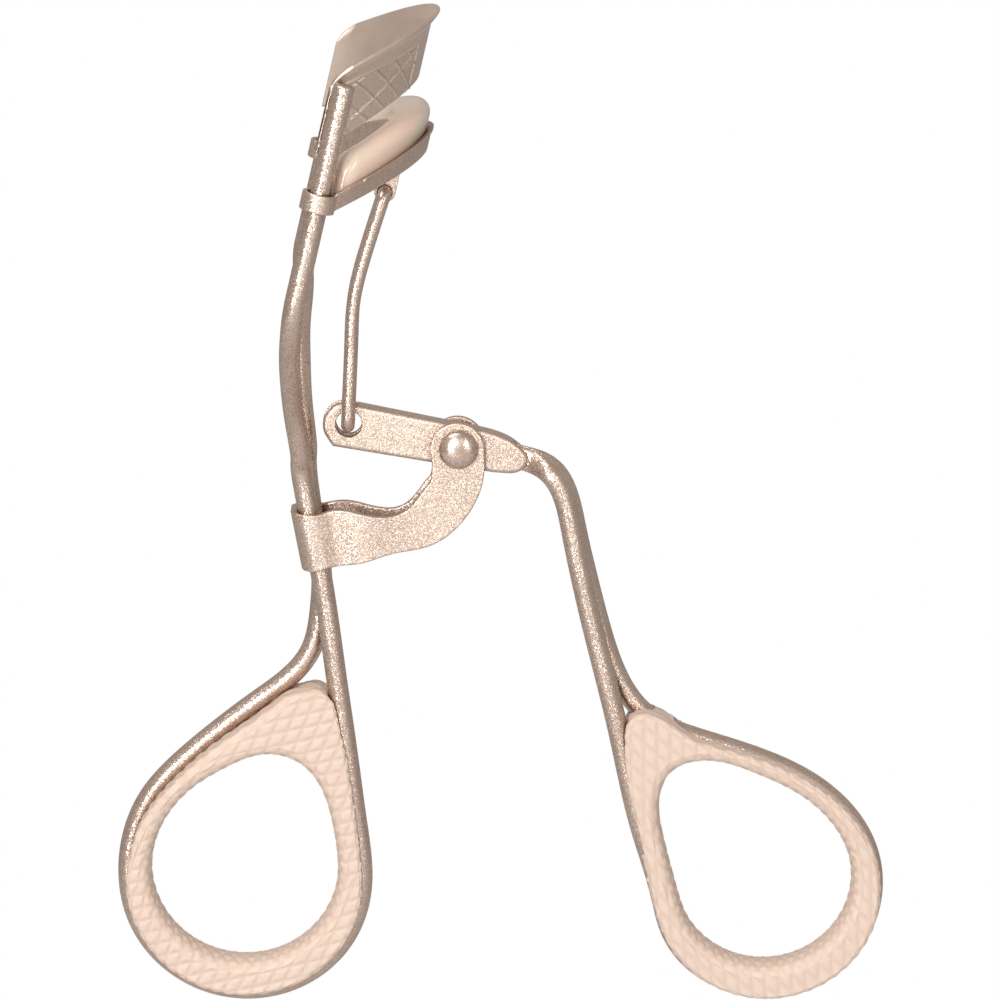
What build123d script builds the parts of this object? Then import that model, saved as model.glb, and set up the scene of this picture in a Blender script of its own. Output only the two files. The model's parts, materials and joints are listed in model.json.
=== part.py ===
from build123d import *
from math import sin, cos, radians
import os

os.makedirs("parts", exist_ok=True)

# Frame: origin at the centre of the fixed finger loop, +Z up the tool, +X toward the moving arm,
# Y across the jaw. All sizes in millimetres.

# wires
wire_r = 1.1                 # both arm wires
pair_y = 1.14                # half spacing of two wires lying side by side
groove_r = wire_r + 0.03     # groove for the wire in the rubber grips

# jaw: rods lean over by jaw_lean; n runs square to the rods, u runs along them
jaw_lean = 13.0
rod_foot_x = 6.35
rod_foot_z = 64.2
rod_y = 14.5                 # half spacing of the guide rods
rod_top_u = 22.6
arc_n = -7.9                 # centre of the jaw curve on the n axis
jaw_slope = 0.70             # rise of the trough's lower edge along u for each mm of n

plate_out = 15.4
plate_thick = 0.6
plate_low = 16.1
plate_low_slope = 0.90
plate_high = 24.0
plate_high_slope = 0.786
plate_end_angle = 64.3
lip_out = 16.05
lip_end_angle = 63.0

trough_in = 13.2
trough_out = 17.85
trough_sheet = 0.5
trough_low = 8.6
trough_outer_high = 10.4
trough_inner_high = 12.9
trough_high_slope = 0.76
trough_end_angle = 58.0
eye_in = 1.3
eye_out = 1.8
eye_low = 9.4
eye_high = 11.3

pad_in = 13.75
pad_out = 17.3
pad_high = 14.1
pad_high_slope = 0.80
pad_end_angle = 54.5

# hinge and lever
hinge_x = 22.7
hinge_z = 45.7
shank_r = 1.2
lever_half = 1.2             # half width of the lever channel
lever_sheet = 0.6
link_hole_x = 11.3
link_hole_z = 48.2
link_hole_r = 1.375
ear_half = 1.25              # half gap between the ears at the hinge
ear_sheet = 0.7

# link
link_r = 0.7
pin_x = 11.2
pin_z = 48.05
lug_x = 15.15
lug_z = 72.65
lug_half = 0.6
lug_hole_r = 0.74

# collar
collar_lean = 10.6
collar_mid_x = 7.57
collar_mid_z = 36.1

# finger loops
loop1_x, loop1_z, loop1_r = 0.0, -1.3, 12.4
loop2_x, loop2_z, loop2_r = 55.3, -2.2, 11.3
grip_half = 2.6


def jaw_axes():
    n = Vector(cos(radians(jaw_lean)), 0, -sin(radians(jaw_lean)))
    u = Vector(sin(radians(jaw_lean)), 0, cos(radians(jaw_lean)))
    return n, u


jaw_n, jaw_u = jaw_axes()
jaw_foot = Vector(rod_foot_x, 0, rod_foot_z)
jaw_plan = Plane(origin=jaw_foot, x_dir=jaw_n, z_dir=jaw_u)
jaw_side = Plane(origin=jaw_foot, x_dir=jaw_n, z_dir=(0, -1, 0))
side = Plane.XZ


def sector(outer, inner, half_angle):
    """Closed outline of a ring sector of the jaw curve, drawn in n and Y."""
    a = radians(half_angle)
    far = [(arc_n + r * cos(t), r * sin(t)) for r in (outer, inner) for t in (-a, 0, a)]
    ThreePointArc(far[0], far[1], far[2])
    Line(far[2], far[5])
    ThreePointArc(far[5], far[4], far[3])
    Line(far[3], far[0])


def band(low, high, n_from, n_to, low_slope=jaw_slope, high_slope=jaw_slope):
    """Sloping band between two jaw edges, drawn in n and u."""
    Polyline(
        (n_from, low + low_slope * n_from),
        (n_to, low + low_slope * n_to),
        (n_to, high + high_slope * n_to),
        (n_from, high + high_slope * n_from),
        close=True,
    )


def on_circle(cx, cz, r, degrees):
    return cx + r * cos(radians(degrees)), cz + r * sin(radians(degrees))


# guide rods: straight above the foot, swept in to the collar below it
rod_bend = [
    (5.78, 13.4, 60.5),
    (5.53, 10.6, 57.0),
    (5.58, 7.2, 53.0),
    (5.87, 4.2, 49.0),
    (6.34, 2.3, 45.0),
]
back_shift = 0.46            # the back rod runs this much nearer the moving arm below the jaw
collar_dir = Vector(-sin(radians(collar_lean)), 0, cos(radians(collar_lean)))
collar_mid = Vector(collar_mid_x, 0, collar_mid_z)
collar_top = collar_mid + collar_dir * 3.7
collar_foot = collar_mid - collar_dir * 3.3


def rod_path(hand, shift):
    foot = jaw_foot + Vector(0, hand * rod_y, 0)
    top = foot + jaw_u * rod_top_u
    entry = collar_top + Vector(0.6 * shift, hand * pair_y, 0)
    rest = collar_mid + collar_dir * 0.05 + Vector(0.2 * shift, hand * pair_y, 0)
    Line(top, foot)
    bend = [(x + shift, hand * y, z) for x, y, z in rod_bend]
    Spline(foot, *bend, entry, tangents=[jaw_u * -1, rest - entry])
    Line(entry, rest)


with BuildPart() as guide_rod_front:
    with BuildLine() as front_rod_line:
        rod_path(-1, 0.0)
    with BuildSketch(Plane(origin=front_rod_line.line @ 0, z_dir=front_rod_line.line % 0)):
        Circle(wire_r)
    sweep()
    fillet(guide_rod_front.faces().sort_by(Axis.Z)[-1].edges(), 0.3)
guide_rod_front.part.label = "guide_rod_front"
export_step(guide_rod_front.part, "parts/guide_rod_front.step")

with BuildPart() as guide_rod_back:
    with BuildLine() as back_rod_line:
        rod_path(1, back_shift)
    with BuildSketch(Plane(origin=back_rod_line.line @ 0, z_dir=back_rod_line.line % 0)):
        Circle(wire_r)
    sweep()
    fillet(guide_rod_back.faces().sort_by(Axis.Z)[-1].edges(), 0.3)
guide_rod_back.part.label = "guide_rod_back"
export_step(guide_rod_back.part, "parts/guide_rod_back.step")


def wire_spots(run, count=48):
    """Planes square to a bent wire, evenly spaced from one end to the other."""
    steps = [k / count for k in range(count + 1)]
    return [Plane(origin=run @ t, x_dir=(0, 1, 0), z_dir=run % t) for t in steps]


# fixed loop: down the front leg, round the loop, up the back leg
def fixed_loop_path():
    start = collar_mid + Vector(0, -pair_y, 0)
    finish = collar_mid + Vector(0, pair_y, 0)
    front_foot = collar_foot + Vector(0, -pair_y, 0)
    back_foot = collar_foot + Vector(0, pair_y, 0)
    ring = []
    for step in range(8):
        x, z = on_circle(loop1_x, loop1_z, loop1_r, -6 - 25 * step)
        ring.append((x, -0.8 + 0.23 * step, z))
    points = [
        start,
        (start + front_foot) * 0.5,
        front_foot,
        (8.9, -pair_y, 28.2),
        (9.9, -pair_y, 20.5),
        (11.0, -1.0, 12.2),
        (11.9, -0.9, 5.0),
        *ring,
        (-9.9, 0.9, 7.6),
        (-7.0, 0.95, 10.9),
        (-3.2, 1.05, 14.2),
        (1.6, pair_y, 17.9),
        (4.6, pair_y, 20.2),
        (7.0, pair_y, 23.1),
        (8.1, pair_y, 27.6),
        back_foot,
        (finish + back_foot) * 0.5,
        finish,
    ]
    Spline(*points)


with BuildLine() as fixed_line:
    fixed_loop_path()
fixed_run = fixed_line.edges()[0]
with BuildPart() as fixed_loop_wire:
    for spot in wire_spots(fixed_run):
        with BuildSketch(spot):
            Circle(wire_r)
    loft()
fixed_loop_wire.part.label = "fixed_loop_wire"
export_step(fixed_loop_wire.part, "parts/fixed_loop_wire.step")

with BuildPart() as fixed_groove:
    for spot in wire_spots(fixed_run):
        with BuildSketch(spot):
            Circle(groove_r)
    loft()

with BuildPart() as fixed_loop_grip:
    with BuildSketch(side):
        with BuildLine():
            rim = [on_circle(loop1_x, loop1_z, loop1_r + 0.2, -20 * k) for k in range(10)]
            Spline(*rim, (-11.2, 3.9), (-6.4, 10.1), (-2.4, 13.5), (2.4, 16.9), (5.2, 19.1),
                   (7.5, 19.9), (9.3, 19.0), (10.3, 16.6), (12.0, 5.6), periodic=True)
        make_face()
        with BuildLine():
            rim = [on_circle(0, -0.1, 9.8, -20 * k) for k in range(11)]
            Spline(*rim, (-5.6, 8.5), (-1.9, 10.9), (2.4, 12.4), (6.0, 11.3), (8.2, 8.4), (9.3, 4.5),
                   periodic=True)
        make_face(mode=Mode.SUBTRACT)
    extrude(amount=grip_half, both=True)
    flats = fixed_loop_grip.faces().filter_by(Axis.Y)
    fillet(flats.edges(), 0.6)
    add(fixed_groove.part, mode=Mode.SUBTRACT)
fixed_loop_grip.part.label = "fixed_loop_grip"
export_step(fixed_loop_grip.part, "parts/fixed_loop_grip.step")


# moving arm: both wire ends pressed flat in the lever, down the front leg, round the loop and back up
arm_start = Vector(27.2, 0, 44.95)
pressed_y = 0.30             # half spacing of the pressed ends
pressed_r = 0.27             # half thickness of a pressed end


def moving_loop_path():
    ring = []
    for step in range(8):
        x, z = on_circle(loop2_x, loop2_z, loop2_r, 183 + 28 * step)
        ring.append((x, -0.8 + 0.23 * step, z))
    points = [
        arm_start + Vector(0, -pressed_y, 0),
        (28.6, -pressed_y, 44.55),
        (30.0, -0.36, 44.1),
        (31.3, -0.76, 43.55),
        (32.4, -1.08, 42.65),
        (33.5, -pair_y, 40.8),
        (34.4, -pair_y, 37.3),
        (36.5, -pair_y, 27.4),
        (39.5, -1.0, 15.0),
        (41.9, -0.9, 4.4),
        *ring,
        (60.4, 0.85, 8.5),
        (56.2, 0.9, 10.8),
        (50.7, 0.98, 12.8),
        (46.4, 1.05, 14.2),
        (42.7, pair_y, 16.1),
        (40.1, pair_y, 19.2),
        (38.3, pair_y, 23.4),
        (37.0, pair_y, 28.0),
        (34.8, pair_y, 37.4),
        (33.85, pair_y, 40.9),
        (32.6, 1.08, 42.85),
        (31.4, 0.76, 43.7),
        (30.05, 0.36, 44.2),
        (28.6, pressed_y, 44.6),
        arm_start + Vector(0, pressed_y, 0.05),
    ]
    Spline(*points)


def pressed_spots(run, length, half_wide):
    """Planes and half sizes of the bent wire, flat at both ends and round elsewhere."""
    fine = [0.0, 0.6, 1.2, 1.8, 2.4, 3.0, 3.6, 4.2, 4.8, 5.4, 6.2, 7.4]
    steps = [d / length for d in fine]
    middle = [k / 46 for k in range(3, 44)]
    spots = []
    for t in steps + middle + [1 - t for t in reversed(steps)]:
        ahead = min(t, 1 - t) * length
        share = min(max((ahead - 2.7) / 3.3, 0), 1)
        share = share * share * (3 - 2 * share)
        thin = pressed_r + (half_wide - pressed_r) * share
        deep = 1.2 + (half_wide - 1.2) * share
        spots.append((Plane(origin=run @ t, x_dir=(0, 1, 0), z_dir=run % t), thin, deep))
    return spots


with BuildLine() as moving_line:
    moving_loop_path()
moving_run = moving_line.edges()[0]
with BuildPart() as moving_loop_wire:
    for spot, thin, deep in pressed_spots(moving_run, moving_run.length, wire_r):
        with BuildSketch(spot):
            Ellipse(thin, deep)
    loft()
moving_loop_wire.part.label = "moving_loop_wire"
export_step(moving_loop_wire.part, "parts/moving_loop_wire.step")

with BuildPart() as moving_groove:
    for spot in wire_spots(moving_run):
        with BuildSketch(spot):
            Circle(groove_r)
    loft()

with BuildPart() as moving_loop_grip:
    with BuildSketch(side):
        with BuildLine():
            rim = [on_circle(loop2_x, loop2_z, loop2_r + 0.8, 30 - 20 * k) for k in range(11)]
            Spline(*rim, (41.7, 3.6), (40.0, 14.0), (40.9, 16.9), (42.9, 17.2), (46.7, 14.9),
                   (51.0, 13.3), (56.6, 11.4), (61.2, 8.8), periodic=True)
        make_face()
        with BuildLine():
            rim = [on_circle(55.0, -1.2, 9.2, 20 - 19 * k) for k in range(11)]
            Spline(*rim, (44.4, 3.2), (43.9, 6.8), (45.2, 10.5), (48.6, 11.7), (54.0, 10.3),
                   (59.4, 7.4), periodic=True)
        make_face(mode=Mode.SUBTRACT)
    extrude(amount=grip_half, both=True)
    flats = moving_loop_grip.faces().filter_by(Axis.Y)
    fillet(flats.edges(), 0.6)
    add(moving_groove.part, mode=Mode.SUBTRACT)
moving_loop_grip.part.label = "moving_loop_grip"
export_step(moving_loop_grip.part, "parts/moving_loop_grip.step")


# upper jaw plate: curved sheet cut by two sloping edges, with a lip rolled out along the top
with BuildPart() as plate_wall:
    with BuildSketch(jaw_plan):
        with BuildLine():
            sector(plate_out, plate_out - plate_thick, plate_end_angle)
        make_face()
    extrude(amount=40)
    with BuildSketch(jaw_side):
        with BuildLine():
            band(plate_low, plate_high, -1.5, 10.0, plate_low_slope, plate_high_slope)
        make_face()
        corner = vertices().sort_by(Axis.X)[:2].sort_by(Axis.Y)[-1]
        fillet(corner, 1.6)
    extrude(amount=20, both=True, mode=Mode.INTERSECT)

with BuildPart() as plate_lip:
    with BuildSketch(jaw_plan):
        with BuildLine():
            sector(lip_out, plate_out - plate_thick, lip_end_angle)
        make_face()
    extrude(amount=40)
    with BuildSketch(jaw_side):
        with BuildLine():
            band(plate_high - 0.7, plate_high, -0.6, 10.0, plate_high_slope, plate_high_slope)
        make_face()
    extrude(amount=20, both=True, mode=Mode.INTERSECT)

with BuildPart() as upper_jaw_plate:
    add(plate_wall.part)
    add(plate_lip.part)
upper_jaw_plate.part.label = "upper_jaw_plate"
export_step(upper_jaw_plate.part, "parts/upper_jaw_plate.step")


# lower jaw trough with an eye on each end
with BuildPart() as trough_sector:
    with BuildSketch(jaw_plan):
        with BuildLine():
            sector(trough_out, trough_in, trough_end_angle)
        make_face()
    extrude(amount=30)
    with BuildSketch(jaw_side):
        with BuildLine():
            band(trough_low, trough_inner_high, -2.5, 11.0, high_slope=trough_high_slope)
        make_face()
    extrude(amount=20, both=True, mode=Mode.INTERSECT)

with BuildPart() as trough_hollow:
    with BuildSketch(jaw_plan):
        with BuildLine():
            sector(trough_out - trough_sheet, trough_in + trough_sheet, 70)
        make_face()
    extrude(amount=30)
    with BuildSketch(jaw_side):
        with BuildLine():
            band(trough_low + 0.6, 40, -6, 12.0)
        make_face()
    extrude(amount=20, both=True, mode=Mode.INTERSECT)

with BuildPart() as trough_rim:
    with BuildSketch(jaw_plan):
        with BuildLine():
            sector(trough_out + 3, trough_out - 1.5 * trough_sheet, 70)
        make_face()
    extrude(amount=30)
    with BuildSketch(jaw_side):
        with BuildLine():
            band(trough_outer_high, 40, -6, 14.0, trough_high_slope)
        make_face()
    extrude(amount=20, both=True, mode=Mode.INTERSECT)

with BuildPart() as trough_bead:
    with BuildSketch(jaw_plan):
        with BuildLine():
            sector(trough_out + 0.15, trough_out - trough_sheet, 48)
        make_face()
    extrude(amount=30)
    with BuildSketch(jaw_side):
        with BuildLine():
            band(trough_outer_high - 0.4, trough_outer_high, -6, 14.0, trough_high_slope, trough_high_slope)
        make_face()
    extrude(amount=20, both=True, mode=Mode.INTERSECT)

with BuildPart() as lower_jaw_trough:
    add(trough_sector.part)
    add(trough_hollow.part, mode=Mode.SUBTRACT)
    add(trough_rim.part, mode=Mode.SUBTRACT)
    add(trough_bead.part)
    with BuildSketch(jaw_plan.offset(eye_low)):
        with Locations((0, rod_y), (0, -rod_y)):
            Circle(eye_out)
    extrude(amount=eye_high - eye_low)
    with BuildSketch(jaw_plan):
        with Locations((0, rod_y), (0, -rod_y)):
            Circle(eye_in)
    extrude(amount=30, mode=Mode.SUBTRACT)
lower_jaw_trough.part.label = "lower_jaw_trough"
export_step(lower_jaw_trough.part, "parts/lower_jaw_trough.step")

# pad: silicone cushion with a rounded crown
with BuildPart() as pad:
    with BuildSketch(jaw_plan):
        with BuildLine():
            sector(pad_out, pad_in, pad_end_angle)
        make_face()
    extrude(amount=30)
    with BuildSketch(jaw_side):
        with BuildLine():
            band(trough_low + 0.65, pad_high, -2.5, 11.0, high_slope=pad_high_slope)
        make_face()
    extrude(amount=20, both=True, mode=Mode.INTERSECT)
    crown = pad.faces().sort_by(Axis(jaw_foot, jaw_u - jaw_n * pad_high_slope))[-1]
    fillet(crown.edges(), 1.2)
pad.part.label = "pad"
export_step(pad.part, "parts/pad.step")

# lug: tab under the trough for the upper end of the link
lug_n = (Vector(lug_x, 0, lug_z) - jaw_foot).dot(jaw_n)
lug_u = (Vector(lug_x, 0, lug_z) - jaw_foot).dot(jaw_u)
lug_r = 1.1
with BuildPart() as jaw_lug:
    with BuildSketch(jaw_side):
        with BuildLine():
            ThreePointArc((lug_n - lug_r, lug_u), (lug_n, lug_u - lug_r), (lug_n + lug_r, lug_u))
            Line((lug_n + lug_r, lug_u),
                 (lug_n + lug_r, trough_low + jaw_slope * (lug_n + lug_r) - 0.01))
            Line((lug_n + lug_r, trough_low + jaw_slope * (lug_n + lug_r) - 0.01),
                 (lug_n - lug_r, trough_low + jaw_slope * (lug_n - lug_r) - 0.01))
            Line((lug_n - lug_r, trough_low + jaw_slope * (lug_n - lug_r) - 0.01),
                 (lug_n - lug_r, lug_u))
        make_face()
        with Locations((lug_n, lug_u)):
            Circle(lug_hole_r, mode=Mode.SUBTRACT)
    extrude(amount=lug_half, both=True)
jaw_lug.part.label = "jaw_lug"
export_step(jaw_lug.part, "parts/jaw_lug.step")


# link: hairpin wire, bent ends in the lug, closed end through the lever hole
link_top = Vector(lug_x, 0, lug_z)
link_pin = Vector(pin_x, 0, pin_z)
upper_run = Vector(-sin(radians(18)), 0, -cos(radians(18)))
lower_run = Vector(-0.04, 0, -1).normalized()
top_bend = 0.85
pin_bend = 1.0
top_y = 1.5
pin_y = 2.05


def link_strand(hand):
    """Edges of one strand, listed from the lug end to the lever end."""
    out = Vector(0, hand, 0)
    tip = link_top + out * 0.04
    elbow = link_top + out * (top_y - top_bend)
    centre = elbow + upper_run * top_bend
    shoulder = centre + out * top_bend
    crest = centre + (out - upper_run) * (top_bend * cos(radians(45)))
    low_centre = link_pin - lower_run * pin_bend + out * (pin_y - pin_bend)
    hip = low_centre + out * pin_bend
    turn = low_centre + (out + lower_run) * (pin_bend * cos(radians(45)))
    base = low_centre + lower_run * pin_bend
    return [
        Line(tip, elbow),
        ThreePointArc(elbow, crest, shoulder),
        Spline(shoulder, (13.0, hand * 1.66, 65.9), (11.85, hand * 1.78, 61.0),
               (11.6, hand * 1.9, 57.0), hip, tangents=[upper_run, lower_run]),
        ThreePointArc(hip, turn, base),
        Line(base, link_pin),
    ]


with BuildPart() as link_wire:
    with BuildLine() as link_line:
        link_strand(-1)
        link_strand(1)
    link_run = Wire(link_line.edges())
    with BuildSketch(Plane(origin=link_run @ 0, z_dir=link_run % 0)):
        Circle(link_r)
    sweep(path=link_run)
link_wire.part.label = "link_wire"
export_step(link_wire.part, "parts/link_wire.step")


# lever: folded channel, open below, with the fold cut away at the link end
with BuildPart() as lever_channel:
    with BuildSketch(side):
        with BuildLine():
            Line((11.4, 50.35), (24.3, 47.7))
            Spline((24.3, 47.7), (27.4, 46.8), (29.2, 45.6), (29.95, 44.3), (29.1, 43.1), (27.4, 42.9),
                   (25.0, 43.2), tangents=[(0.98, -0.2), (-0.98, 0.17)])
            Line((25.0, 43.2), (9.6, 45.8))
            Line((9.6, 45.8), (8.95, 46.8))
            ThreePointArc((8.95, 46.8), (9.25, 49.7), (11.4, 50.35))
        make_face()
    extrude(amount=lever_half, both=True)
    fold = lever_channel.faces().filter_by(Axis.Y).edges().filter_by(GeomType.LINE)
    fillet(fold.group_by(SortBy.LENGTH)[-1].sort_by(Axis.Z)[-2:], 0.4)
    with BuildSketch(side):
        with BuildLine():
            Polyline((28.2, 45.55), (28.9, 46.9), (32.0, 46.9), (32.0, 41.0), (7.0, 41.0), (7.0, 52.0),
                     (12.3, 52.0), (12.3, 49.55), (24.2, 47.1))
            Spline((24.2, 47.1), (27.0, 46.3), (28.2, 45.55), tangents=[(0.98, -0.2), (0.8, -0.6)])
        make_face()
    extrude(amount=lever_half - lever_sheet, both=True, mode=Mode.SUBTRACT)
    with BuildSketch(side):
        with Locations((hinge_x, hinge_z)):
            Circle(shank_r + 0.05)
        with Locations((link_hole_x, link_hole_z)):
            Circle(link_hole_r)
    extrude(amount=5, both=True, mode=Mode.SUBTRACT)
lever_channel.part.label = "lever_channel"
export_step(lever_channel.part, "parts/lever_channel.step")


# collar bracket: one sheet folded round both wires, its two ends forming the hinge ears
bracket_plan = Plane(
    origin=collar_mid,
    x_dir=(cos(radians(collar_lean)), 0, sin(radians(collar_lean))),
    z_dir=collar_dir,
)
ear_mid = ear_half + ear_sheet / 2
wrap_r = wire_r + 0.05 + ear_sheet / 2


def bracket_fold(hand):
    """Middle line of one half of the folded sheet, from the ear to the back of the collar."""
    Line((24, hand * ear_mid), (13.5, hand * ear_mid))
    Spline((13.5, hand * ear_mid), (8.0, hand * 1.95), (4.2, hand * 2.35), (2.35, hand * 2.05),
           (0, hand * (pair_y + wrap_r)), tangents=[(-1, 0), (-1, 0)])
    start = 270 if hand < 0 else 90
    CenterArc((0, hand * pair_y), wrap_r, start, 90 * hand)


with BuildPart() as collar_bracket:
    with BuildSketch(bracket_plan):
        with BuildLine():
            bracket_fold(-1)
            Line((-wrap_r, -pair_y), (-wrap_r, pair_y))
            bracket_fold(1)
        trace(line_width=ear_sheet)
    extrude(amount=30, both=True)
    with BuildSketch(side):
        with BuildLine():
            Spline((5.1, 39.0), (8.3, 38.9), (9.8, 39.25), (13.4, 38.7), (17.2, 39.1), (19.3, 41.6),
                   (19.95, 44.6), tangents=[(0.98, -0.1), (0, 1)])
            ThreePointArc((19.95, 44.6), (22.6, 48.45), (25.4, 45.4))
            Spline((25.4, 45.4), (25.3, 42.4), (23.2, 38.0), (19.4, 35.2), (15.6, 34.5), (12.0, 33.5),
                   (8.6, 33.0), (6.6, 32.7), tangents=[(0.05, -1), (-1, 0)])
            ThreePointArc((6.6, 32.7), (5.95, 32.95), (5.7, 33.5))
            Line((5.7, 33.5), (5.1, 39.0))
        make_face()
    extrude(amount=5, both=True, mode=Mode.INTERSECT)
    with BuildSketch(side):
        with Locations((hinge_x, hinge_z)):
            Circle(shank_r + 0.02)
    extrude(amount=5, both=True, mode=Mode.SUBTRACT)
collar_bracket.part.label = "collar_bracket"
export_step(collar_bracket.part, "parts/collar_bracket.step")

# rivet: plain shank with a domed head on each side
head_r = 2.05
head_high = 1.15
ear_face = ear_half + ear_sheet
with BuildPart() as hinge_rivet:
    with BuildSketch(Plane(origin=(hinge_x, 0, hinge_z), x_dir=(1, 0, 0), z_dir=(0, -1, 0))):
        Circle(shank_r)
    extrude(amount=ear_face + 0.5, both=True)
    for hand in (-1, 1):
        seat = Plane(origin=(hinge_x, hand * ear_face, hinge_z), x_dir=(1, 0, 0), z_dir=(0, hand, 0))
        with BuildSketch(seat):
            Circle(head_r)
        extrude(amount=head_high)
    crowns = hinge_rivet.faces().filter_by(Axis.Y).group_by(Axis.Y)
    fillet(crowns[0].edges() + crowns[-1].edges(), 1.0)
hinge_rivet.part.label = "hinge_rivet"
export_step(hinge_rivet.part, "parts/hinge_rivet.step")
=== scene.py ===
import json
import math

import bmesh
import bpy
import numpy as np
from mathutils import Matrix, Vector


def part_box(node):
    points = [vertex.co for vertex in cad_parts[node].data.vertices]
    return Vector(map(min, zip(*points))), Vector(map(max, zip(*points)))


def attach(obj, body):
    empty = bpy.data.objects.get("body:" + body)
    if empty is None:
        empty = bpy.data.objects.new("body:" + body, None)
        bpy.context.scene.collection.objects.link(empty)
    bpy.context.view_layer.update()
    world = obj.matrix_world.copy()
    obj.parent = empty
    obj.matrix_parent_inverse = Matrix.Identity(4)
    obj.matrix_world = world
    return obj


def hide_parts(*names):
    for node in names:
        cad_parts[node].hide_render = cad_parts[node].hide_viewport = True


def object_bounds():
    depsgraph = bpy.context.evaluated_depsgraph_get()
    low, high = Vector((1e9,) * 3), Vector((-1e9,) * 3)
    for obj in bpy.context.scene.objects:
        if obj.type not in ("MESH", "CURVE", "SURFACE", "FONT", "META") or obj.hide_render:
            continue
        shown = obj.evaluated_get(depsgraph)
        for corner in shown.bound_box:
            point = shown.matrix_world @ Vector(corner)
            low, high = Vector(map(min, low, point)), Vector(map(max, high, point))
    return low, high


MM = 0.001

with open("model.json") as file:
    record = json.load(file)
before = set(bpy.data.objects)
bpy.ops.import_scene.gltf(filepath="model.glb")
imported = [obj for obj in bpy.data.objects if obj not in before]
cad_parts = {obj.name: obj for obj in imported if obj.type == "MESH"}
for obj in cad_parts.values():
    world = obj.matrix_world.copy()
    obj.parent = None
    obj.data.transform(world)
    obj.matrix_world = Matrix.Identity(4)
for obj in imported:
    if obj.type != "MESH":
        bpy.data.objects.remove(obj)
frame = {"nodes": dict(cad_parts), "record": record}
cad_low, cad_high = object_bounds()
scene = bpy.context.scene


# ---------------------------------------------------------------- node helpers

def new_group(name, inputs, outputs):
    """An empty shader node group with named float, vector or colour sockets."""
    group = bpy.data.node_groups.new(name, "ShaderNodeTree")
    kinds = {"float": "NodeSocketFloat", "vector": "NodeSocketVector", "color": "NodeSocketColor"}
    for label, kind, value in inputs:
        socket = group.interface.new_socket(label, in_out="INPUT", socket_type=kinds[kind])
        if value is not None:
            socket.default_value = value
    for label, kind in outputs:
        group.interface.new_socket(label, in_out="OUTPUT", socket_type=kinds[kind])
    return group, group.nodes.new("NodeGroupInput"), group.nodes.new("NodeGroupOutput")


def add(tree, kind, **settings):
    """A node with its settings, and values for its sockets given by index as _0, _1 and so on."""
    node = tree.nodes.new(kind)
    for key, value in settings.items():
        if key[0] == "_":
            node.inputs[int(key[1:])].default_value = value
        else:
            setattr(node, key, value)
    return node


def wire(tree, source, target):
    tree.links.new(source, target)


def math_node(tree, operation, a, b=None):
    node = add(tree, "ShaderNodeMath", operation=operation)
    for slot_at, value in enumerate((a, b)):
        if value is None:
            continue
        if isinstance(value, (int, float)):
            node.inputs[slot_at].default_value = value
        else:
            wire(tree, value, node.inputs[slot_at])
    return node.outputs[0]


def ramp(tree, source, low, high, to_low, to_high):
    node = add(tree, "ShaderNodeMapRange", _1=low, _2=high, _3=to_low, _4=to_high)
    wire(tree, source, node.inputs[0])
    return node.outputs[0]


def mix_color(tree, factor, a, b):
    node = add(tree, "ShaderNodeMix", data_type="RGBA")
    for label, value in (("Factor_Float", factor), ("A_Color", a), ("B_Color", b)):
        socket = next(s for s in node.inputs if s.identifier == label)
        if isinstance(value, (int, float, tuple)):
            socket.default_value = value
        else:
            wire(tree, value, socket)
    return next(s for s in node.outputs if s.identifier == "Result_Color")


# ---------------------------------------------------------------- shared effects

def blasted_grain_group():
    """Fine blasted plating: each small facet leans its own way, with brighter and duller flecks."""
    group, inside, out = new_group(
        "blasted_grain",
        [("Position", "vector", None), ("Facet per metre", "float", 6500.0), ("Lean", "float", 0.35)],
        [("Normal", "vector"), ("Fleck", "float"), ("Cloud", "float")],
    )
    cells = add(group, "ShaderNodeTexVoronoi", feature="F1", voronoi_dimensions="3D")
    wire(group, inside.outputs["Position"], cells.inputs["Vector"])
    wire(group, inside.outputs["Facet per metre"], cells.inputs["Scale"])
    centred = add(group, "ShaderNodeVectorMath", operation="SUBTRACT")
    centred.inputs[1].default_value = (0.5, 0.5, 0.5)
    wire(group, cells.outputs["Color"], centred.inputs[0])
    leaned = add(group, "ShaderNodeVectorMath", operation="SCALE")
    wire(group, centred.outputs[0], leaned.inputs[0])
    wire(group, inside.outputs["Lean"], leaned.inputs["Scale"])
    surface = add(group, "ShaderNodeNewGeometry")
    tilted = add(group, "ShaderNodeVectorMath", operation="ADD")
    wire(group, surface.outputs["Normal"], tilted.inputs[0])
    wire(group, leaned.outputs[0], tilted.inputs[1])
    unit = add(group, "ShaderNodeVectorMath", operation="NORMALIZE")
    wire(group, tilted.outputs[0], unit.inputs[0])
    wire(group, unit.outputs[0], out.inputs["Normal"])
    parts = add(group, "ShaderNodeSeparateColor")
    wire(group, cells.outputs["Color"], parts.inputs[0])
    wire(group, parts.outputs[0], out.inputs["Fleck"])
    cloud = add(group, "ShaderNodeTexNoise", noise_dimensions="3D")
    cloud.inputs["Scale"].default_value = 260.0
    cloud.inputs["Detail"].default_value = 4.0
    wire(group, inside.outputs["Position"], cloud.inputs["Vector"])
    wire(group, cloud.outputs[0], out.inputs["Cloud"])
    return group


def painted_crevice_shade_group():
    """Painted shade: darkens the colour where walls meet closely, by an ambient-occlusion mask."""
    group, inside, out = new_group(
        "crevice", [("Reach", "float", 0.0012), ("Depth", "float", 0.6)], [("Shade", "float")]
    )
    near = add(group, "ShaderNodeAmbientOcclusion", samples=8)
    wire(group, inside.outputs["Reach"], near.inputs["Distance"])
    closed = math_node(group, "SUBTRACT", 1.0, near.outputs["AO"])
    wire(group, math_node(group, "MULTIPLY", closed, inside.outputs["Depth"]), out.inputs["Shade"])
    return group


grain_effect = blasted_grain_group()
painted_crevice_shade = painted_crevice_shade_group()


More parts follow.
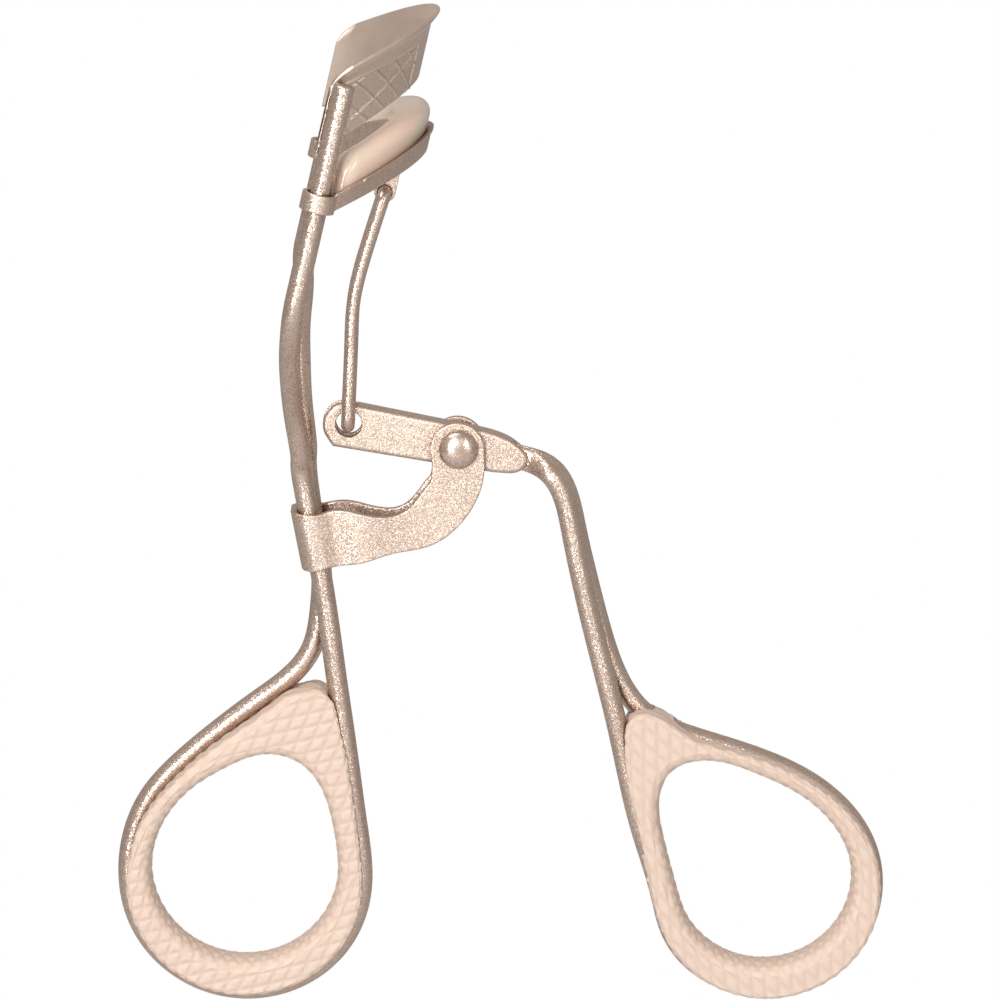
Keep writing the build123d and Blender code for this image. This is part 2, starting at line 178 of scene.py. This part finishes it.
def blank_material(name):
    material = bpy.data.materials.new(name)
    material.use_nodes = True
    tree = material.node_tree
    shader = tree.nodes["Principled BSDF"]
    spot = add(tree, "ShaderNodeTexCoord")
    return material, tree, shader, spot.outputs["Object"]


def place(tree, group, **values):
    node = add(tree, "ShaderNodeGroup", node_tree=group)
    for label, value in values.items():
        node.inputs[label.replace("_", " ")].default_value = value
    return node


def satin_metal(name, base, dark, bright, lean, facet, rough_low, rough_high, plain_mask=False):
    """Champagne plating over blasted metal; the plain mask keeps walls smooth that were not blasted."""
    material, tree, shader, spot = blank_material(name)
    grain = place(tree, grain_effect, Facet_per_metre=facet, Lean=lean)
    wire(tree, spot, grain.inputs["Position"])
    crevice = place(tree, painted_crevice_shade)
    fleck = ramp(tree, grain.outputs["Fleck"], 0.60, 1.0, 0.0, 0.85)
    dull = ramp(tree, grain.outputs["Fleck"], 0.0, 0.35, 0.45, 0.0)
    if plain_mask:
        blasted = add(tree, "ShaderNodeAttribute", attribute_name="blasted")
        wire(tree, ramp(tree, blasted.outputs["Fac"], 0.0, 1.0, lean * 0.22, lean), grain.inputs["Lean"])
        fleck = math_node(tree, "MULTIPLY", fleck, ramp(tree, blasted.outputs["Fac"], 0.0, 1.0, 0.2, 1.0))
        dull = math_node(tree, "MULTIPLY", dull, ramp(tree, blasted.outputs["Fac"], 0.0, 1.0, 0.2, 1.0))
    flecked = mix_color(tree, fleck, base, bright)
    grained = mix_color(tree, dull, flecked, dark)
    clouded = mix_color(tree, ramp(tree, grain.outputs["Cloud"], 0.35, 0.70, 0.18, 0.0), grained, dark)
    # painted shade: the colour turns dark brown where walls meet closely
    shaded = mix_color(tree, crevice.outputs["Shade"], clouded, painted_crevice_shade_brown)
    wire(tree, shaded, shader.inputs["Base Color"])
    wire(tree, ramp(tree, grain.outputs["Fleck"], 0.0, 1.0, rough_high, rough_low),
         shader.inputs["Roughness"])
    wire(tree, grain.outputs["Normal"], shader.inputs["Normal"])
    shader.inputs["Metallic"].default_value = 1.0
    return material


# dark brown of the painted crevice shade
painted_crevice_shade_brown = (0.16, 0.09, 0.06, 1)
champagne = (0.70, 0.545, 0.45, 1)
champagne_dark = (0.40, 0.28, 0.21, 1)
champagne_bright = (1.0, 0.88, 0.80, 1)
wire_satin = satin_metal("wire_satin", champagne, champagne_dark, champagne_bright,
                         0.30, 11000, 0.22, 0.36)
sheet_satin = satin_metal("sheet_satin", champagne, champagne_dark, champagne_bright,
                          0.34, 11000, 0.30, 0.46)
# A brighter copy of the champagne plating for the plate: painted light for the light its walls catch.
plate_champagne_painted_lit = (0.90, 0.745, 0.63, 1)
plate_satin = satin_metal("plate_satin", plate_champagne_painted_lit, champagne_dark, champagne_bright,
                          0.40, 10500, 0.30, 0.46, plain_mask=True)
rivet_satin = satin_metal("rivet_satin", champagne, champagne_dark, champagne_bright,
                          0.10, 9000, 0.22, 0.32)


grip_light, grip_warm = (0.73, 0.59, 0.485, 1), (0.71, 0.57, 0.47, 1)
# the groove colour is painted shade, darker than the silicone skin
grip_groove_painted_shade, grip_shade = (0.70, 0.53, 0.44, 1), (0.62, 0.42, 0.33, 1)
pad_cream, pad_pink = (0.80, 0.67, 0.54, 1), (0.83, 0.62, 0.51, 1)
pad_shade = (0.40, 0.26, 0.17, 1)


def grip_silicone():
    material, tree, shader, spot = blank_material("grip_silicone")
    groove = add(tree, "ShaderNodeAttribute", attribute_name="groove")
    cloud = add(tree, "ShaderNodeTexNoise")
    cloud.inputs["Scale"].default_value = 180.0
    cloud.inputs["Detail"].default_value = 5.0
    wire(tree, spot, cloud.inputs["Vector"])
    skin = mix_color(tree, ramp(tree, cloud.outputs[0], 0.35, 0.65, 0.0, 1.0),
                     grip_light, grip_warm)
    # painted shade: the grooves take a darker colour
    lined = mix_color(tree, groove.outputs["Fac"], skin, grip_groove_painted_shade)
    # painted shade: darker where walls meet closely
    crevice = place(tree, painted_crevice_shade, Reach=0.0010, Depth=0.35)
    shaded = mix_color(tree, crevice.outputs["Shade"], lined, grip_shade)
    wire(tree, shaded, shader.inputs["Base Color"])
    fine = add(tree, "ShaderNodeTexNoise")
    fine.inputs["Scale"].default_value = 9000.0
    fine.inputs["Detail"].default_value = 2.0
    wire(tree, spot, fine.inputs["Vector"])
    bump = add(tree, "ShaderNodeBump")
    bump.inputs["Strength"].default_value = 0.15
    bump.inputs["Distance"].default_value = 0.00004
    wire(tree, fine.outputs[0], bump.inputs["Height"])
    wire(tree, bump.outputs[0], shader.inputs["Normal"])
    wire(tree, ramp(tree, cloud.outputs[0], 0.3, 0.7, 0.46, 0.58), shader.inputs["Roughness"])
    shader.inputs["Subsurface Weight"].default_value = 0.25
    shader.inputs["Subsurface Radius"].default_value = (1.0, 0.55, 0.4)
    shader.inputs["Subsurface Scale"].default_value = 0.0008
    return material


def pad_silicone():
    material, tree, shader, spot = blank_material("pad_silicone")
    cloud = add(tree, "ShaderNodeTexNoise")
    cloud.inputs["Scale"].default_value = 150.0
    cloud.inputs["Detail"].default_value = 3.0
    wire(tree, spot, cloud.inputs["Vector"])
    skin = mix_color(tree, ramp(tree, cloud.outputs[0], 0.38, 0.62, 0.0, 1.0),
                     pad_cream, pad_pink)
    # painted shade: darker where walls meet closely
    crevice = place(tree, painted_crevice_shade, Reach=0.0015, Depth=0.7)
    shaded = mix_color(tree, crevice.outputs["Shade"], skin, pad_shade)
    wire(tree, shaded, shader.inputs["Base Color"])
    wire(tree, ramp(tree, cloud.outputs[0], 0.3, 0.7, 0.20, 0.28), shader.inputs["Roughness"])
    shader.inputs["Subsurface Weight"].default_value = 0.35
    shader.inputs["Subsurface Radius"].default_value = (1.0, 0.6, 0.4)
    shader.inputs["Subsurface Scale"].default_value = 0.0012
    shader.inputs["Coat Weight"].default_value = 0.6
    shader.inputs["Coat Roughness"].default_value = 0.05
    return material


grip_skin = grip_silicone()
pad_skin = pad_silicone()


# ---------------------------------------------------------------- mesh helpers

def link(name, mesh):
    piece = bpy.data.objects.new(name, mesh)
    scene.collection.objects.link(piece)
    return piece


def coordinates(mesh):
    flat = np.zeros(len(mesh.vertices) * 3)
    mesh.vertices.foreach_get("co", flat)
    return flat.reshape(-1, 3)


def set_coordinates(mesh, points):
    mesh.vertices.foreach_set("co", points.astype(np.float32).ravel())
    mesh.update()


def normals(mesh):
    flat = np.zeros(len(mesh.vertices) * 3)
    mesh.vertices.foreach_get("normal", flat)
    return flat.reshape(-1, 3)


def relax(mesh, passes, keep=0.53):
    """Rounds sharp edges while holding the volume: one step in, one step out."""
    ends = np.zeros(len(mesh.edges) * 2, int)
    mesh.edges.foreach_get("vertices", ends)
    ends = ends.reshape(-1, 2)
    points = coordinates(mesh)
    size = len(points)
    into, other = ends.ravel(), ends[:, ::-1].ravel()
    count = np.bincount(into, minlength=size)[:, None]
    for _ in range(passes):
        for share in (0.5, -keep):
            total = np.stack([np.bincount(into, points[other, k], size) for k in range(3)], 1)
            points = points + share * (total / count - points)
    set_coordinates(mesh, points)


def recast(node, cell, passes, keep=0.53):
    """A fine even mesh of a CAD node, with softly rounded edges."""
    source = frame["nodes"][node]
    piece = link("cast_" + node, source.data.copy())
    tidy = bmesh.new()
    tidy.from_mesh(piece.data)
    bmesh.ops.remove_doubles(tidy, verts=tidy.verts, dist=0.002 * MM)
    tidy.to_mesh(piece.data)
    tidy.free()
    remesh = piece.modifiers.new("even", "REMESH")
    remesh.mode = "VOXEL"
    remesh.voxel_size = cell
    view = bpy.context.evaluated_depsgraph_get()
    mesh = bpy.data.meshes.new_from_object(piece.evaluated_get(view))
    bpy.data.objects.remove(piece)
    mesh.materials.clear()
    relax(mesh, passes, keep)
    mesh.shade_smooth()
    return mesh


def body_of(node):
    groups = frame["record"]["behaviour"]["bodies"]
    return next(name for name, members in groups.items() if node in members)


def put(name, mesh, material, node):
    """Shows a new piece in place of a CAD node, on that node's body."""
    piece = link(name, mesh)
    mesh.materials.clear()
    mesh.materials.append(material)
    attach(piece, body_of(node))
    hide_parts(node)
    return piece


# ---------------------------------------------------------------- sheet metal

for node, cell, passes in (
    ("collar_bracket", 0.10 * MM, 3),
    ("lever_channel", 0.10 * MM, 3),
    ("lower_jaw_trough", 0.09 * MM, 3),
    ("jaw_lug", 0.07 * MM, 4),
):
    put(node + "_formed", recast(node, cell, passes), sheet_satin, node)


HEAD_TALL = 1.15 * MM
SHANK_R = 1.2 * MM
DOME_STEPS = 14
DOME_FULLNESS = 0.85     # below 1 the dome is fuller than a half ellipse


def rivet_mesh():
    """Two domed heads on a plain shank, turned about the hinge line."""
    low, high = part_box("hinge_rivet")
    centre = (low + high) / 2
    head_r = (high.x - low.x) / 2
    tip = (high.y - low.y) / 2
    face = tip - HEAD_TALL
    skirt = face + 0.16 * MM
    outline = [(SHANK_R, 0.0), (SHANK_R, face - 0.02 * MM), (head_r - 0.12 * MM, face)]
    outline += [(head_r - 0.02 * MM, face + 0.06 * MM), (head_r, skirt)]
    for k in range(1, DOME_STEPS + 1):
        a = math.radians(90 * k / DOME_STEPS)
        outline.append((head_r * math.cos(a) ** DOME_FULLNESS, skirt + (tip - skirt) * math.sin(a)))
    outline[-1] = (0.0, tip)
    whole = [(r, -y) for r, y in reversed(outline)] + outline[1:]
    turned = bmesh.new()
    rim = [turned.verts.new((centre.x + r, centre.y + y, centre.z)) for r, y in whole]
    for first, second in zip(rim, rim[1:]):
        turned.edges.new((first, second))
    bmesh.ops.spin(turned, geom=turned.verts[:] + turned.edges[:], cent=centre, axis=(0, 1, 0),
                   angle=2 * math.pi, steps=96)
    bmesh.ops.remove_doubles(turned, verts=turned.verts, dist=0.002 * MM)
    bmesh.ops.recalc_face_normals(turned, faces=turned.faces)
    mesh = bpy.data.meshes.new("rivet")
    turned.to_mesh(mesh)
    turned.free()
    mesh.shade_smooth()
    return mesh


put("hinge_rivet_turned", rivet_mesh(), rivet_satin, "hinge_rivet")

for node in ("guide_rod_front", "guide_rod_back", "fixed_loop_wire", "moving_loop_wire", "link_wire"):
    shape = frame["nodes"][node]
    shape.data.materials.clear()
    shape.data.materials.append(wire_satin)


# ---------------------------------------------------------------- upper jaw plate

JAW_LEAN = math.radians(13.0)
JAW_FOOT = Vector((6.35, 0.0, 64.2)) * MM
ARC_BACK = 7.9          # the jaw curve's centre lies this far behind the rods, in mm
PLATE_R = 15.4
PLATE_SHEET = 0.6
PLATE_LOW, PLATE_LOW_SLOPE = 16.1, 0.90
PLATE_HIGH, PLATE_HIGH_SLOPE = 24.0, 0.786
PLATE_END = math.radians(64.0)
LIP_OUT = 0.62
WALL_TALL = 7.0
CORNER_DROP = 0.9        # rounding of the plate's upper corners
RIDGE_UP, FIELD_IN = 0.17, 0.05
PLATE_STEPS, PLATE_ROWS, EDGE_STEPS = 420, 96, 10
EDGE_RISE = 0.70         # the quilting follows edges that rise this much for each mm outwards

across_jaw = Vector((math.cos(JAW_LEAN), 0, -math.sin(JAW_LEAN)))
along_rods = Vector((math.sin(JAW_LEAN), 0, math.cos(JAW_LEAN)))


def lines_near(value, offset, pitch, width):
    """1 on a line of a family of even lines, falling to 0 beside it."""
    away = np.abs((value - offset + pitch / 2) % pitch - pitch / 2)
    return np.exp(-((away / width) ** 2))


def step(value, low, high):
    t = np.clip((value - low) / (high - low), 0, 1)
    return t * t * (3 - 2 * t)


def quilting(along, up):
    """Raised diamond lines, and the border that frames them on each half of the plate."""
    side_way = np.abs(along)
    steep = lines_near(up - side_way, -8.63, 2.50, 0.13)
    flat = lines_near(up + 0.45 * side_way, 8.23, 4.00, 0.13)
    field = step(side_way, 5.3, 5.45) * step(6.3 - up, 0.0, 0.15)
    top = np.exp(-(((up - 6.3) / 0.13) ** 2)) * step(side_way, 5.2, 5.4)
    inner = np.exp(-(((side_way - 5.3) / 0.13) ** 2)) * step(6.35 - up, 0.0, 0.1)
    return np.maximum(np.maximum(steep, flat) * field, np.maximum(top, inner)), field


def plate_mesh():
    steps, face, turn = PLATE_STEPS, PLATE_ROWS, EDGE_STEPS
    angles = np.linspace(-PLATE_END, PLATE_END, steps)
    ring = []
    half = PLATE_SHEET / 2
    for k in range(face + 1):
        ring.append((half, k / face, True))
    for k in range(1, turn):
        a = math.pi * k / turn
        ring.append((half * math.cos(a), 1 + math.sin(a) * half / WALL_TALL, False))
    for k in range(face // 2 + 1):
        ring.append((-half, 1 - k / (face // 2), False))
    for k in range(1, turn):
        a = math.pi * k / turn
        ring.append((-half * math.cos(a), -math.sin(a) * half / WALL_TALL, False))
    side_out = np.array([r[0] for r in ring])
    share = np.array([r[1] for r in ring])
    outer = np.array([r[2] for r in ring])
    s = angles[:, None] * PLATE_R
    wall_n = -ARC_BACK + (PLATE_R - half) * np.cos(angles)[:, None]
    low = PLATE_LOW + PLATE_LOW_SLOPE * wall_n + half
    near_end = np.clip((np.abs(s) - (PLATE_END * PLATE_R - CORNER_DROP)) / CORNER_DROP, 0, 1)
    fall = CORNER_DROP * (1 - np.sqrt(1 - near_end ** 2 * 0.999))
    high = PLATE_HIGH + PLATE_HIGH_SLOPE * wall_n - half - fall
    u = low + share[None, :] * (high - low)
    under_lip = high + half - u
    lip_share = step(PLATE_END * PLATE_R - np.abs(s), 0.0, 1.6)
    flare = step(-under_lip, -1.25, -0.15) * lip_share
    u = u + PLATE_HIGH_SLOPE * flare * LIP_OUT
    quilt_up = u - PLATE_LOW - EDGE_RISE * wall_n
    relief, field = quilting(s + 0 * u, quilt_up)
    lift = np.where(outer[None, :], RIDGE_UP * relief - FIELD_IN * field, 0.0)
    radius = PLATE_R - half - 0.07 + side_out[None, :] + flare * LIP_OUT + lift
    n = -ARC_BACK + radius * np.cos(angles)[:, None]
    y = radius * np.sin(angles)[:, None]
    points = (
        np.array(JAW_FOOT)[None, None, :]
        + n[..., None] * np.array(across_jaw) * MM
        + u[..., None] * np.array(along_rods) * MM
        + y[..., None] * np.array((0, 1, 0)) * MM
    )
    loops = len(ring)
    flat_points = points.reshape(-1, 3)
    faces = []
    for i in range(steps - 1):
        for j in range(loops):
            k = (j + 1) % loops
            faces.append((i * loops + j, (i + 1) * loops + j, (i + 1) * loops + k, i * loops + k))
    mesh = bpy.data.meshes.new("plate")
    shell = flat_points.tolist()
    # rounded ends: the ring shrinks to a line as it leaves each end
    for end, way in ((0, -1), (steps - 1, 1)):
        previous = [end * loops + j for j in range(loops)]
        outward = Vector((-math.sin(angles[end]) * across_jaw.x, math.cos(angles[end]),
                          -math.sin(angles[end]) * across_jaw.z)) * way
        for t in (0.35, 0.7, 0.92, 1.0):
            squeeze = math.sqrt(max(1 - t * t, 0.0004))
            row = []
            for j in range(loops):
                here = Vector(points[end, j])
                middle_r = (radius[end, j] - side_out[j])
                middle = (JAW_FOOT + across_jaw * MM * (-ARC_BACK + middle_r * math.cos(angles[end]))
                          + along_rods * MM * u[end, j]
                          + Vector((0, 1, 0)) * MM * middle_r * math.sin(angles[end]))
                spot = middle + (here - middle) * squeeze + outward * (0.12 * t * MM)
                row.append(len(shell))
                shell.append(tuple(spot))
            for j in range(loops):
                k = (j + 1) % loops
                quad = (previous[j], row[j], row[k], previous[k])
                faces.append(quad if way > 0 else quad[::-1])
            previous = row
        faces.append(tuple(previous) if way < 0 else tuple(previous[::-1]))
    mesh.from_pydata(shell, [], faces)
    blasted = np.zeros(len(shell))
    blasted[: field.size] = (np.where(outer[None, :], 0.45 + 0.55 * field, 0.0)).ravel()
    grain = mesh.attributes.new("blasted", "FLOAT", "POINT")
    grain.data.foreach_set("value", blasted.astype(np.float32))
    mesh.update()
    fixed = bmesh.new()
    fixed.from_mesh(mesh)
    bmesh.ops.recalc_face_normals(fixed, faces=fixed.faces)
    fixed.to_mesh(mesh)
    fixed.free()
    mesh.shade_smooth()
    return mesh


put("upper_jaw_plate_pressed", plate_mesh(), plate_satin, "upper_jaw_plate")


# ---------------------------------------------------------------- silicone

LOZENGE_PITCH, LOZENGE_LINE = 1.36, 0.25


def lozenges(x, z, first_way, second_way, pitch):
    """Groove strength of two crossing families of lines in the loop's plane."""
    found = []
    for way in (first_way, second_way):
        a = math.radians(way)
        found.append(lines_near(-x * math.sin(a) + z * math.cos(a), 0.0, pitch, LOZENGE_LINE))
    return np.maximum(*found)


def subdivided(mesh):
    """The same surface with each face cut in four and smoothed."""
    piece = link("cast_finer", mesh)
    finer = piece.modifiers.new("finer", "SUBSURF")
    finer.levels = finer.render_levels = 1
    view = bpy.context.evaluated_depsgraph_get()
    result = bpy.data.meshes.new_from_object(piece.evaluated_get(view))
    bpy.data.objects.remove(piece)
    return result


INNER_ROUND = 0.75       # how far the finger side of a grip falls back at its faces, in mm
GROOVE_DEPTH = 0.11
WALL_PITCH, WALL_LINE = 1.15, 0.24
WIRE_GAP = 0.45          # how far the fixed grip is brought up to its wire at the top left, in mm


def grip_mesh(node, middle, ways, toward_wire=None):
    mesh = subdivided(recast(node, 0.24 * MM, 9))
    points = coordinates(mesh)
    out = normals(mesh)
    x = points[:, 0] / MM - middle[0]
    y = points[:, 1] / MM
    z = points[:, 2] / MM - middle[1]
    front = lozenges(x, z, ways[0], ways[1], LOZENGE_PITCH)
    round_way = np.arctan2(z, x) * 11.5 * 0.80
    wall = np.maximum(lines_near(round_way + y * 0.6, 0.0, WALL_PITCH, WALL_LINE),
                      lines_near(round_way - y * 0.6, 0.0, WALL_PITCH, WALL_LINE))
    facing = step(np.abs(out[:, 1]), 0.25, 0.60)
    reach = np.hypot(x, z)
    spread = np.abs(y) / np.abs(y).max()
    inward = -(out[:, 0] * x + out[:, 2] * z) / reach
    rounding = INNER_ROUND * spread ** 2.6 * step(inward, -0.35, 0.30)
    points[:, 0] += x / reach * rounding * MM
    points[:, 2] += z / reach * rounding * MM
    if toward_wire is not None:
        leaning = out[:, 0] * toward_wire[0] + out[:, 2] * toward_wire[1]
        near_wire = (step(leaning, 0.45, 0.85) * step(z, 1.0, 5.0)
                     * step(x, 6.5, 4.0) * step(reach, 9.0, 10.5))
        points[:, 0] += near_wire * toward_wire[0] * WIRE_GAP * MM
        points[:, 2] += near_wire * toward_wire[1] * WIRE_GAP * MM
    groove = front * facing + wall * (1 - facing)
    rng = np.random.default_rng(7)
    waves = rng.normal(size=(6, 3)) * 0.35
    sway = sum(np.sin(x * w[0] + z * w[1] + y * w[2] + k) for k, w in enumerate(waves)) / 6
    set_coordinates(mesh, points - out * (groove * GROOVE_DEPTH + 0.03 + 0.02 * sway)[:, None] * MM)
    store = mesh.attributes.new("groove", "FLOAT", "POINT")
    store.data.foreach_set("value", groove.astype(np.float32))
    mesh.shade_smooth()
    return mesh


put("fixed_grip_moulded", grip_mesh("fixed_loop_grip", (0.0, 0.0), (13.0, 68.0), (-0.62, 0.78)), grip_skin,
    "fixed_loop_grip")
put("moving_grip_moulded", grip_mesh("moving_loop_grip", (55.0, -1.2), (91.0, -42.0)), grip_skin,
    "moving_loop_grip")

PAD_END_ROUND = 1.6      # length of each rounded pad end, in mm
PAD_STATIONS = 41


def pad_mesh():
    """The pad with its two ends rounded off along the jaw curve."""
    mesh = recast("pad", 0.20 * MM, 8, keep=0.50)
    points = coordinates(mesh)
    from_foot = points - np.array(JAW_FOOT)
    n = from_foot @ np.array(across_jaw) / MM + ARC_BACK
    u = from_foot @ np.array(along_rods) / MM
    y = from_foot[:, 1] / MM
    angle = np.arctan2(y, n)
    radius = np.hypot(y, n)
    stations = np.linspace(angle.min(), angle.max(), PAD_STATIONS)
    bins = PAD_STATIONS - 1
    place_at = np.clip(np.digitize(angle, stations) - 1, 0, bins - 1)
    count = np.maximum(np.bincount(place_at, minlength=bins), 1)
    centres = (stations[:-1] + stations[1:]) / 2
    mid_radius = np.interp(angle, centres, np.bincount(place_at, radius, bins) / count)
    mid_u = np.interp(angle, centres, np.bincount(place_at, u, bins) / count)
    from_end = (np.abs(angle).max() - np.abs(angle)) * radius / PAD_END_ROUND
    squeeze = np.sqrt(np.clip(1 - 0.55 * np.clip(1 - from_end, 0, 1) ** 2, 0, 1))
    radius = mid_radius + (radius - mid_radius) * squeeze
    u = mid_u + (u - mid_u) * squeeze
    n = radius * np.cos(angle) - ARC_BACK
    y = radius * np.sin(angle)
    rounded = (np.array(JAW_FOOT)[None, :] + n[:, None] * np.array(across_jaw) * MM
               + u[:, None] * np.array(along_rods) * MM
               + y[:, None] * np.array((0.0, 1.0, 0.0)) * MM)
    set_coordinates(mesh, rounded)
    return mesh


pad_piece = put("pad_moulded", pad_mesh(), pad_skin, "pad")


# ---------------------------------------------------------------- stage

def area_light(name, spot, aim, width, height, power):
    light = bpy.data.lights.new(name, "AREA")
    light.shape = "RECTANGLE"
    light.size, light.size_y = width, height
    light.energy = power
    lamp = bpy.data.objects.new(name, light)
    lamp.location = Vector(spot)
    lamp.rotation_mode = "QUATERNION"
    lamp.rotation_quaternion = (Vector(aim) - Vector(spot)).to_track_quat("-Z", "Y")
    scene.collection.objects.link(lamp)


middle = (cad_low + cad_high) / 2
area_light("key_strip", middle + Vector((-0.17, -0.54, 0.10)), middle, 0.10, 0.36, 1.7)
area_light("fill_strip", middle + Vector((0.24, -0.50, 0.10)), middle, 0.06, 0.36, 0.5)
area_light("soft_top", middle + Vector((-0.20, -0.20, 0.55)), middle, 0.3, 0.3, 1.2)

floor_mesh = bpy.data.meshes.new("floor")
reach, drop = 3.0, cad_low.z - 0.09
floor_mesh.from_pydata(
    [(-reach, -reach, drop), (reach, -reach, drop), (reach, reach, drop), (-reach, reach, drop)], [],
    [(0, 1, 2, 3)])
floor = link("floor", floor_mesh)
paper = bpy.data.materials.new("paper")
paper.use_nodes = True
paper_tree = paper.node_tree
paper_shader = paper_tree.nodes["Principled BSDF"]
paper_shader.inputs["Base Color"].default_value = (0.62, 0.62, 0.62, 1)
paper_shader.inputs["Roughness"].default_value = 0.9
glow = add(paper_tree, "ShaderNodeEmission")
glow.inputs["Color"].default_value = (1, 1, 1, 1)
glow.inputs["Strength"].default_value = 1.0
seen = add(paper_tree, "ShaderNodeLightPath")
blend = add(paper_tree, "ShaderNodeMixShader")
wire(paper_tree, seen.outputs["Is Camera Ray"], blend.inputs[0])
wire(paper_tree, paper_shader.outputs[0], blend.inputs[1])
wire(paper_tree, glow.outputs[0], blend.inputs[2])
wire(paper_tree, blend.outputs[0], paper_tree.nodes["Material Output"].inputs[0])
floor_mesh.materials.append(paper)

world = bpy.data.worlds.new("studio")
scene.world = world
world.use_nodes = True
sky = world.node_tree
backdrop = sky.nodes["Background"]
backdrop.inputs["Strength"].default_value = 1.0
heading = add(sky, "ShaderNodeTexCoord")
parts = add(sky, "ShaderNodeSeparateXYZ")
wire(sky, heading.outputs["Generated"], parts.inputs[0])
toward_front = ramp(sky, parts.outputs[1], -1.0, -0.15, 1.0, 0.0)
wire(sky, mix_color(sky, toward_front, (0.46, 0.43, 0.41, 1), (0.66, 0.645, 0.63, 1)),
     backdrop.inputs["Color"])
scene.view_settings.view_transform = "Standard"

camera = bpy.data.cameras.new("camera")
camera.sensor_width = 36.0
VIEW_DISTANCE = 0.650
VIEW_SPAN = 0.1045
VIEW_TILT = math.radians(13.6)
camera.lens = camera.sensor_width * VIEW_DISTANCE / VIEW_SPAN
camera.clip_start, camera.clip_end = 0.05, 20.0
eye = bpy.data.objects.new("camera", camera)
scene.collection.objects.link(eye)
look = Vector((0.0, math.cos(VIEW_TILT), -math.sin(VIEW_TILT)))
view_middle = Vector((0.02703, 0.0, 0.03981))
eye.location = view_middle - look * VIEW_DISTANCE
eye.rotation_mode = "QUATERNION"
eye.rotation_quaternion = look.to_track_quat("-Z", "Y")
scene.camera = eye
